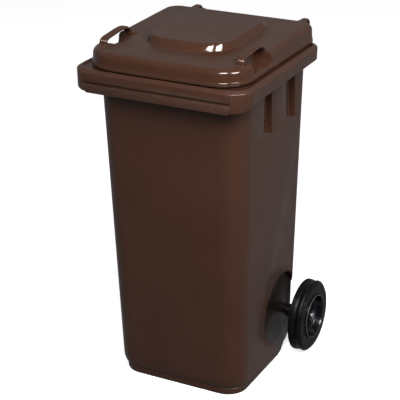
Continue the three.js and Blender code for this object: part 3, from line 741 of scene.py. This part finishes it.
def make_lid():
    points, faces, loops = make_lid_shell()
    stitch(points, faces, *loops)
    return shade(new_object("lid_shell", points, faces), 50)


def make_lid_straps():
    right = make_strap()
    left = mirrored(right, "strap_left")
    return shade(join("lid_straps", [right, left]), 60)


def make_lid_arms():
    right = make_arm()
    left = mirrored(right, "arm_left")
    return shade(join("lid_arms", [right, left]), 40)


# ---------- wheels, for the right-hand side
TYRE_IN, TYRE_OUT = 208.5, 247.0
HUB_IN, HUB_OUT = 204.0, 242.0
RIB_COUNT, RIB_X, RIB_REACH, RIB_HALF = 8, (212, 223), (18.5, 54.5), 1.5
# The axle lock's place, and the heights over the axle of its housing, pin bore and spring bore.
LOCK_X = 216.0
LOCK_HOUSING, LOCK_PIN_BORE, LOCK_SPRING_BORE = (14, 39.5), (0, 20), (19.7, 44)
# Each profile point of a turned part is its radius, its x and how much its corner is rounded.


def make_tyre():
    """From the bead up the inner face, over three grooves and the hollow tread, down the outer face."""
    profile = [(66, 220.5, 0.5), (61.5, 214.5, 0.8), (61.5, 208.9, 1), (66, TYRE_IN, 3), (84, TYRE_IN, 10),
               (96.2, 209.6, 3), (99.6, 211.4, 0.9), (99.8, 213.2, 0.5), (98.8, 213.7, 0.3),
               (98.8, 214.5, 0.3), (99.8, 214.9, 0.4), (99.8, 216.3, 0.4), (98.7, 216.8, 0.3),
               (98.7, 217.6, 0.3), (99.6, 218.0, 0.4), (99.5, 219.4, 0.4), (98.4, 219.9, 0.3),
               (98.4, 220.7, 0.3), (99.2, 221.1, 0.5), (98.9, 223.4, 1.2), (97.6, 227, 4), (97.4, 231, 4),
               (98.4, 235, 2.5), (99.6, 237.6, 1.6), (99, 240.4, 2), (96.6, 243, 3), (92.5, 245.4, 3),
               (92, 246.4, 1), (90.4, TYRE_OUT, 1), (64, TYRE_OUT, 2), (61.5, 246, 1), (61.5, 241, 0.8),
               (66, 234.5, 0.5)]
    return shade(turned("tyre", rounded(profile, 1, 3), AXLE_Y, AXLE_Z, 144), 30)


def hub_disc():
    """From the bore up the inner face to the rim, over its outer lip and down the dished outer face."""
    profile = [(BORE, HUB_IN, 0.6), (20, HUB_IN, 1), (21, 206, 1), (21, 221.5, 2), (44, 220.5, 4),
               (53, 216.5, 3), (56, 208.5, 0.8), (61.1, 208.5, 0.6), (61.1, 214.4, 0.6), (65.6, 220.7, 0.4),
               (65.6, 234.4, 0.4), (61.1, 240.8, 0.6), (61.1, 250.6, 1.2), (60, 251.5, 0.9),
               (58.6, 250.9, 0.8), (57.6, 247.2, 1), (55.5, 232, 3), (51, 226.6, 4), (44, 225.2, 6),
               (30, 226.4, 4), (24, 230.2, 3), (19.5, 231.4, 2), (17.6, 236, 2), (16.6, 241.2, 1),
               (15.4, HUB_OUT, 0.8), (BORE, HUB_OUT, 0.5)]
    return turned("hub", rounded(profile, 1, 4), AXLE_Y, AXLE_Z, 120)


def hub_ribs():
    """The ribs like spokes on the disc's inner face."""
    to_axle = Matrix.Translation(Vector(to_frame([(0, AXLE_Y, AXLE_Z)])[0]))
    to_origin = Matrix.Translation(Vector((0, SHIFT / 1000, 0)))
    ribs = []
    for i in range(RIB_COUNT):
        turn = Matrix.Rotation(2 * math.pi * (i + 0.5) / RIB_COUNT, 4, "X")
        rib = bevel(block("rib", RIB_X, (-RIB_HALF, RIB_HALF), RIB_REACH), 0.4, 2)
        rib.data.transform(to_axle @ turn @ to_origin)
        ribs.append(rib)
    return join("ribs", ribs)


def circle(x, y, z, radius, segments):
    """A level ring of points."""
    return [(*p, z) for p in arc(x, y, radius, 0, 360, segments)[:-1]]


def upright(name, radius, heights, segments):
    """A plain round rod standing on the axle's middle line, where the lock is."""
    return skin(name, [circle(LOCK_X, AXLE_Y, AXLE_Z + z, radius, segments) for z in heights])


def make_hub():
    hub = cut(hub_disc(), [hub_ribs(), upright("housing", 6.5, LOCK_HOUSING, 40)], "UNION")
    bores = [upright("bore", 2.8, LOCK_PIN_BORE, 24), upright("bore", 3.6, LOCK_SPRING_BORE, 24)]
    return shade(cut(hub, bores), 30)


AXLE_END, AXLE_RADIUS, LOCK_GROOVE, LOCK_GROOVE_HALF = 246.0, 10.0, 2.0, 3.0


def make_axle():
    """A bar with chamfered ends and a groove round each end for the lock's pin."""
    floor, outer, inner = AXLE_RADIUS - LOCK_GROOVE, LOCK_X + LOCK_GROOVE_HALF, LOCK_X - LOCK_GROOVE_HALF
    half = [(0, AXLE_END, 0), (AXLE_RADIUS - 1.6, AXLE_END, 0.6), (AXLE_RADIUS, AXLE_END - 1.6, 0.6),
            (AXLE_RADIUS, outer, 0.3), (floor, outer, 0.3), (floor, inner, 0.3), (AXLE_RADIUS, inner, 0.3)]
    profile = rounded(half + [(r, -x, c) for r, x, c in half[::-1]], 0.4, 2)
    return shade(turned("axle_bar", profile, AXLE_Y, AXLE_Z, 64), 30)


def make_ring(name, outer, x0, x1, soft):
    profile = [(BORE, x0, 0.3), (outer, x0, soft), (outer, x1, soft), (BORE, x1, 0.3)]
    return shade(turned(name, rounded(profile, soft, 3), AXLE_Y, AXLE_Z, 64), 35)


def make_sleeve():
    return make_ring("sleeve", 15, 174.5, 200.5, 1.2)


def make_washer():
    return make_ring("washer", 18, 200.9, 203.4, 0.5)


PIN_TIP, PIN_BARB, PIN_HEAD, PIN_FACE = 131.7, 137.7, 163.3, 166.8
PIN_RADIUS, BARB_RADIUS, HEAD_RADIUS, PIN_SLOT = 5.0, 6.1, 8.0, 1.6


def make_pin():
    """The hinge pin with its split, barbed tip and its hollow head."""
    profile = [(0, PIN_TIP, 0), (3.6, PIN_TIP, 0.6), (BARB_RADIUS, PIN_BARB - 1.5, 0.4),
               (BARB_RADIUS, PIN_BARB, 0.2), (PIN_RADIUS, PIN_BARB, 0.2), (PIN_RADIUS, PIN_HEAD, 0.2),
               (HEAD_RADIUS, PIN_HEAD, 0.4), (HEAD_RADIUS, PIN_FACE, 1.1), (2.6, PIN_FACE, 0.5),
               (2.5, PIN_FACE - 8, 0), (0, PIN_FACE - 8, 0)]
    pin = turned("pin", rounded(profile, 0.4, 3), HINGE_Y, HINGE_Z, 48)
    gap, tall = PIN_SLOT / 2, HEAD_RADIUS + 1
    slot = block("slot", (PIN_TIP - 1, PIN_BARB + 7), (HINGE_Y - gap, HINGE_Y + gap),
                 (HINGE_Z - tall, HINGE_Z + tall))
    return shade(cut(pin, [slot]), 35)


BUFFER_X, BUFFER_Y, BUFFER_RADIUS, STUD_RADIUS = 120.0, -206.5, 6.0, 3.0


def make_buffer():
    """A round rubber pad on the rim with its stud through the rim's skin."""
    low, high = (c * 1000 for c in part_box("lid_buffer_right"))
    seat = RIM_TOP + 0.3
    profile = rounded([(0, low.z, 0), (STUD_RADIUS - 0.6, low.z, 0.6), (STUD_RADIUS, low.z + 1.2, 0.6),
                       (STUD_RADIUS, seat, 0.2), (BUFFER_RADIUS, seat, 0.5),
                       (BUFFER_RADIUS, high.z, 1.4), (0, high.z, 0)], 0.5, 3)
    points = [p for r, z in profile for p in circle(BUFFER_X, BUFFER_Y, z, r, 40)]
    return shade(new_object("buffer", points, grid_faces(len(profile), 40, closed=True)), 35)


# ---------- materials
MATERIALS = {}  # by slot, filled as the materials are made


def set_inputs(node, **values):
    """Sets a node's inputs by their names, with _ for a space."""
    for key, value in values.items():
        node.inputs[key.replace("_", " ")].default_value = value


class Nodes:
    """A small hand for building one material's node tree."""

    def __init__(self, name):
        self.name = name
        self.material = bpy.data.materials.new(name)
        self.material.use_nodes = True
        self.tree = self.material.node_tree
        self.shader = self.tree.nodes["Principled BSDF"]
        self.place = self.add("ShaderNodeTexCoord").outputs["Object"]

    def add(self, kind, **values):
        node = self.tree.nodes.new(kind)
        for key, value in values.items():
            setattr(node, key, value)
        return node

    def link(self, out, into):
        self.tree.links.new(out, into)

    def stretched(self, scale):
        node = self.add("ShaderNodeMapping")
        set_inputs(node, Scale=scale)
        self.link(self.place, node.inputs["Vector"])
        return node.outputs["Vector"]

    def noise(self, scale, detail=3.0, rough=0.55, stretch=None):
        node = self.add("ShaderNodeTexNoise")
        set_inputs(node, Scale=scale, Detail=detail, Roughness=rough)
        self.link(self.stretched(stretch) if stretch else self.place, node.inputs["Vector"])
        return node.outputs["Fac"]

    def ramp(self, fac, low, high, start=0.35, end=0.65):
        node = self.add("ShaderNodeMapRange")
        set_inputs(node, From_Min=start, From_Max=end, To_Min=low, To_Max=high)
        self.link(fac, node.inputs["Value"])
        return node.outputs["Result"]

    def feed(self, socket, value):
        """Gives a socket a link, a colour or a number."""
        if isinstance(value, bpy.types.NodeSocket):
            self.link(value, socket)
        else:
            socket.default_value = (*value, 1.0) if isinstance(value, tuple) else value

    def blend(self, fac, a, b):
        node = self.add("ShaderNodeMix", data_type="RGBA")
        for index, value in ((0, fac), (6, a), (7, b)):
            self.feed(node.inputs[index], value)
        return node.outputs[2]

    def maths(self, kind, a, b):
        node = self.add("ShaderNodeMath", operation=kind)
        self.feed(node.inputs[0], a)
        self.feed(node.inputs[1], b)
        return node.outputs[0]

    def bump(self, height, strength, distance, after=None):
        node = self.add("ShaderNodeBump")
        set_inputs(node, Strength=strength, Distance=distance / 1000)
        self.link(height, node.inputs["Height"])
        if after:
            self.link(after, node.inputs["Normal"])
        return node.outputs["Normal"]

    def distance_from(self, y, z):
        """Distance from the line along X through (y, z), in metres."""
        centre = to_frame([(0, y, z)])[0]
        node = self.add("ShaderNodeMapping", vector_type="POINT")
        set_inputs(node, Location=(0, -centre[1], -centre[2]), Scale=(0, 1, 1))
        self.link(self.place, node.inputs["Vector"])
        length = self.add("ShaderNodeVectorMath", operation="LENGTH")
        self.link(node.outputs["Vector"], length.inputs[0])
        return length.outputs["Value"]

    def sideways(self):
        """Distance from the middle of the object's width, in metres."""
        node = self.add("ShaderNodeSeparateXYZ")
        self.link(self.place, node.inputs["Vector"])
        return self.maths("ABSOLUTE", node.outputs["X"], 0.0)

    def facing_up(self):
        node = self.add("ShaderNodeSeparateXYZ")
        self.link(self.add("ShaderNodeTexCoord").outputs["Normal"], node.inputs["Vector"])
        return self.ramp(node.outputs["Z"], 0.0, 1.0, 0.90, 0.985)

    def finish(self, colour, roughness, normal, **sockets):
        self.link(colour, self.shader.inputs["Base Color"])
        self.link(roughness, self.shader.inputs["Roughness"])
        self.link(normal, self.shader.inputs["Normal"])
        set_inputs(self.shader, **sockets)
        MATERIALS[self.name] = self.material


MATT = 0.42  # the roughness of the painted shade in the arches and of the scuffed hub lip
WORN, WORN_BLACK = (0.30, 0.24, 0.20), (0.05, 0.05, 0.05)


def moulded(name, dark, light, rough, grain, worn=WORN, wear=0.12, marks=None, flats=0.0):
    """Glossy moulded plastic: cloudy pigment, fine flow marks, polished and scuffed patches, orange peel.

    marks adds its own colours to the plain ones; flats is how much rougher the upward faces are."""
    n = Nodes(name)
    cloud = n.noise(5.5, 4)
    flow = n.noise(60, 3, 0.6, (1.0, 1.0, 0.12))
    speck = n.noise(900, 2, 0.5)
    colour = n.blend(n.ramp(cloud, 0.0, 1.0), dark, light)
    colour = n.blend(n.ramp(flow, 0.0, 0.35), colour, light)
    colour = n.blend(n.ramp(speck, 0.0, 0.04, 0.55, 0.75), colour, worn)
    edges = n.ramp(n.add("ShaderNodeNewGeometry").outputs["Pointiness"], 0.0, wear, 0.52, 0.60)
    patches = n.ramp(n.noise(140, 4), 0.2, 1.0, 0.42, 0.58)
    colour = n.blend(n.maths("MULTIPLY", edges, patches), colour, worn)
    mask = None
    if marks:
        colour, mask = marks(n, colour)
    roughness = n.maths("ADD", n.ramp(n.noise(16, 4), rough - 0.045, rough + 0.05, 0.3, 0.7),
                        n.ramp(n.noise(320, 3), -0.02, 0.03))
    if flats:
        roughness = n.maths("ADD", roughness, n.maths("MULTIPLY", n.facing_up(), flats))
    if mask:
        roughness = n.maths("MAXIMUM", roughness, n.maths("MULTIPLY", mask, MATT))
    peel = n.bump(n.noise(210, 3), grain, 0.25)
    normal = n.bump(n.noise(1500, 2), grain * 0.8, 0.05, peel)
    n.finish(colour, roughness, normal, Specular_IOR_Level=0.5)


def arch_painted_shade(n, colour):
    """Painted shade: patchy near-black colour over the arches and the axle bay behind them, where shade
    falls.
    """
    near = n.ramp(n.distance_from(ARCH_Y, ARCH_Z), 1.0, 0.0, 0.104, 0.112)
    inside = n.ramp(n.sideways(), 1.0, 0.0, 0.176, 0.180)
    patchy = n.ramp(n.noise(30, 4), 0.72, 0.95, 0.3, 0.7)
    mask = n.maths("MULTIPLY", n.maths("MULTIPLY", near, inside), patchy)
    # painted shade: the near-black colour that darkens the arch recesses
    return n.blend(mask, colour, (0.0016, 0.0009, 0.0007)), mask


def lip_scuff(n, colour):
    """The hub's outer lip, rubbed grey all the way round."""
    outermost = n.ramp(n.distance_from(AXLE_Y, AXLE_Z), 0.0, 1.0, 0.0585, 0.0590)
    end = n.ramp(n.sideways(), 0.0, 1.0, 0.2488, 0.2500)
    mask = n.maths("MULTIPLY", n.maths("MULTIPLY", outermost, end), n.ramp(n.noise(60, 3), 0.75, 1.0))
    return n.blend(mask, colour, (0.075, 0.075, 0.08)), mask


def rubber(name, dark, light, rough):
    n = Nodes(name)
    dust = n.ramp(n.noise(38, 5, 0.65), 0.0, 1.0, 0.4, 0.7)
    colour = n.blend(dust, dark, light)
    roughness = n.ramp(n.noise(75, 4), rough - 0.08, rough + 0.08)
    normal = n.bump(n.noise(700, 3), 0.25, 0.15, n.bump(n.noise(2600, 2), 0.2, 0.05))
    n.finish(colour, roughness, normal, Specular_IOR_Level=0.2)


def zinc(name, dark, light, rough):
    n = Nodes(name)
    spangle = n.add("ShaderNodeTexVoronoi")
    set_inputs(spangle, Scale=420)
    n.link(n.place, spangle.inputs["Vector"])
    colour = n.blend(n.ramp(spangle.outputs["Distance"], 0.0, 1.0, 0.0, 0.8), dark, light)
    colour = n.blend(n.ramp(n.noise(55, 4), 0.0, 0.5), colour, dark)
    brushed = n.noise(900, 3, 0.6, (0.04, 1.0, 1.0))
    patches = n.ramp(n.noise(90, 3), rough - 0.06, rough + 0.08)
    roughness = n.maths("ADD", patches, n.ramp(brushed, -0.03, 0.05))
    n.finish(colour, roughness, n.bump(brushed, 0.15, 0.08), Metallic=1.0)


# the body's marks are painted shade in the wheel arches and the axle bay
moulded("body_plastic", (0.0500, 0.0194, 0.0108), (0.0590, 0.0236, 0.0138), 0.32, 0.08,
        marks=arch_painted_shade)
moulded("lid_plastic", (0.0490, 0.0190, 0.0100), (0.0570, 0.0225, 0.0124), 0.10, 0.02, flats=0.2)
moulded("pin_plastic", (0.036, 0.0145, 0.0080), (0.046, 0.0185, 0.0105), 0.40, 0.10)
moulded("hub_plastic", (0.0035, 0.0038, 0.0060), (0.0060, 0.0062, 0.0090), 0.20, 0.06,
        worn=(0.05, 0.05, 0.055), wear=0.2, marks=lip_scuff)
moulded("sleeve_plastic", (0.008, 0.008, 0.009), (0.013, 0.013, 0.014), 0.45, 0.12, WORN_BLACK)
moulded("plug_plastic", (0.010, 0.010, 0.011), (0.015, 0.015, 0.016), 0.48, 0.12, WORN_BLACK)
rubber("tyre_rubber", (0.0020, 0.0020, 0.0030), (0.0046, 0.0046, 0.0060), 0.40)
rubber("buffer_rubber", (0.010, 0.010, 0.010), (0.018, 0.018, 0.018), 0.7)
zinc("axle_steel", (0.36, 0.36, 0.38), (0.52, 0.52, 0.54), 0.34)
zinc("washer_steel", (0.40, 0.40, 0.41), (0.56, 0.56, 0.57), 0.32)
zinc("lock_steel", (0.40, 0.40, 0.41), (0.55, 0.55, 0.56), 0.28)
zinc("spring_steel", (0.34, 0.34, 0.35), (0.48, 0.48, 0.49), 0.30)


def dress(obj, slot):
    obj.data.materials.clear()
    obj.data.materials.append(MATERIALS[slot])


def piece(obj, body, slot, *nodes):
    obj.name = obj.name.removesuffix(".001")
    dress(obj, slot)
    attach(obj, body)
    if nodes:
        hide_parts(*nodes)


def pair(maker, name, bodies, slot, node):
    right = maker()
    right.name = name + "_right"
    left = mirrored(right, name + "_left")
    piece(right, bodies[0], slot, node + "_right")
    piece(left, bodies[1], slot, node + "_left")


for maker in (make_shell, make_comb, make_handle, make_supports):
    piece(maker(), "bin", "body_plastic", "body")
for maker in (make_lid, make_lid_straps, make_lid_arms):
    piece(maker(), "lid", "lid_plastic", "lid")
piece(make_axle(), "axle", "axle_steel", "axle")
wheels, axles, bins = ("wheel_right", "wheel_left"), ("axle", "axle"), ("bin", "bin")
pair(make_tyre, "tyre_solid", wheels, "tyre_rubber", "tyre")
pair(make_hub, "hub_disc", wheels, "hub_plastic", "wheel_hub")
pair(make_sleeve, "sleeve", axles, "sleeve_plastic", "spacer_sleeve")
pair(make_washer, "washer", axles, "washer_steel", "axle_washer")
pair(make_pin, "lid_pin", bins, "pin_plastic", "hinge_pin")
pair(make_buffer, "rim_buffer", bins, "buffer_rubber", "lid_buffer")
for side in ("right", "left"):
    dress(frame["nodes"][f"lock_pin_{side}"], "lock_steel")
    dress(frame["nodes"][f"lock_spring_{side}"], "spring_steel")
    dress(frame["nodes"][f"lock_plug_{side}"], "plug_plastic")


# ---------- floor, light and camera
def make_floor():
    mesh = bpy.data.meshes.new("floor")
    size, height = 30.0, -0.0005
    corners = [(x * size, y * size, height) for x, y in ((-1, -1), (1, -1), (1, 1), (-1, 1))]
    mesh.from_pydata(corners, [], [(0, 1, 2, 3)])
    floor = placed("floor", mesh)
    material = bpy.data.materials.new("floor_white")
    material.use_nodes = True
    shader = material.node_tree.nodes["Principled BSDF"]
    set_inputs(shader, Base_Color=(0.9, 0.9, 0.9, 1), Roughness=0.9, Specular_IOR_Level=0.0)
    set_inputs(shader, Emission_Color=(1, 1, 1, 1), Emission_Strength=0.7)
    mesh.materials.append(material)
    floor.visible_glossy = False
    floor.visible_diffuse = False


def make_world():
    """A pale studio, darker in front of the object than behind it; the camera itself sees plain white."""
    world = bpy.data.worlds.new("studio")
    bpy.context.scene.world = world
    world.use_nodes = True
    tree = world.node_tree
    add, link = tree.nodes.new, tree.links.new
    background = tree.nodes["Background"]
    coords = add("ShaderNodeTexCoord")
    split = add("ShaderNodeSeparateXYZ")
    link(coords.outputs["Generated"], split.inputs["Vector"])
    shine = add("ShaderNodeMapRange")
    shine.interpolation_type = "SMOOTHSTEP"
    set_inputs(shine, From_Min=-0.75, From_Max=0.65, To_Min=0.14, To_Max=0.23)
    link(split.outputs["Y"], shine.inputs["Value"])
    path = add("ShaderNodeLightPath")
    pick = add("ShaderNodeMix")
    pick.inputs[3].default_value = 1.0
    link(path.outputs["Is Camera Ray"], pick.inputs[0])
    link(shine.outputs["Result"], pick.inputs[2])
    link(pick.outputs[0], background.inputs["Strength"])
    set_inputs(background, Color=(1, 1, 1, 1))


def bearing(azimuth, elevation):
    """The direction from the bin to a place on a bearing from its front and at a height, in degrees."""
    a, e = math.radians(azimuth), math.radians(elevation)
    return Vector((math.sin(a) * math.cos(e), -math.cos(a) * math.cos(e), math.sin(e)))


BOX_DISTANCE, BOX_AIM = 3, Vector((0, -0.1, 0.75))
WARM = (1, 0.93, 0.91)


def softbox(name, azimuth, elevation, size, energy, diffuse=True, glossy=True, colour=(1, 1, 1)):
    """A square softbox aimed at the bin."""
    data = bpy.data.lights.new(name, "AREA")
    data.shape = "RECTANGLE"
    data.size, data.size_y = size, size
    data.energy = energy
    data.color = colour
    lamp = placed(name, data)
    lamp.location = BOX_AIM + bearing(azimuth, elevation) * BOX_DISTANCE
    lamp.rotation_euler = (BOX_AIM - lamp.location).to_track_quat("-Z", "Y").to_euler()
    lamp.visible_diffuse = diffuse
    lamp.visible_glossy = glossy
    lamp.visible_camera = False


# The camera's place in millimetres, its bearing, tilt and roll in degrees, and its lens.
CAMERA_PLACE = (1533.2, -2933.9, 1910.0)
CAMERA_TURN = (27.59, 23.31, -0.5364)
CAMERA_LENS, CAMERA_SENSOR = 123.46, 36


def make_camera():
    azimuth, elevation, roll = CAMERA_TURN
    right, back = bearing(azimuth + 90, 0), bearing(azimuth, elevation)
    up = back.cross(right)
    lean = math.radians(roll)
    across = math.cos(lean) * right + math.sin(lean) * up
    upward = -math.sin(lean) * right + math.cos(lean) * up
    data = bpy.data.cameras.new("camera")
    data.lens, data.sensor_width, data.clip_end = CAMERA_LENS, CAMERA_SENSOR, 100
    camera = placed("camera", data)
    turn = Matrix((across, upward, back)).transposed().to_4x4()
    camera.matrix_world = Matrix.Translation(Vector(to_frame([CAMERA_PLACE])[0])) @ turn
    bpy.context.scene.camera = camera


make_floor()
make_world()
softbox("box_front", 25, 38, 1.35, 86, glossy=False)
softbox("box_side", 68, 38, 1.35, 60, glossy=False)
softbox("shine_front", 32, 45, 0.95, 85, diffuse=False, colour=WARM)
softbox("shine_side", 70, 33, 0.92, 80, diffuse=False, colour=WARM)
make_camera()
bpy.context.scene.view_settings.view_transform = "Standard"
bpy.context.scene.view_settings.look = "None"
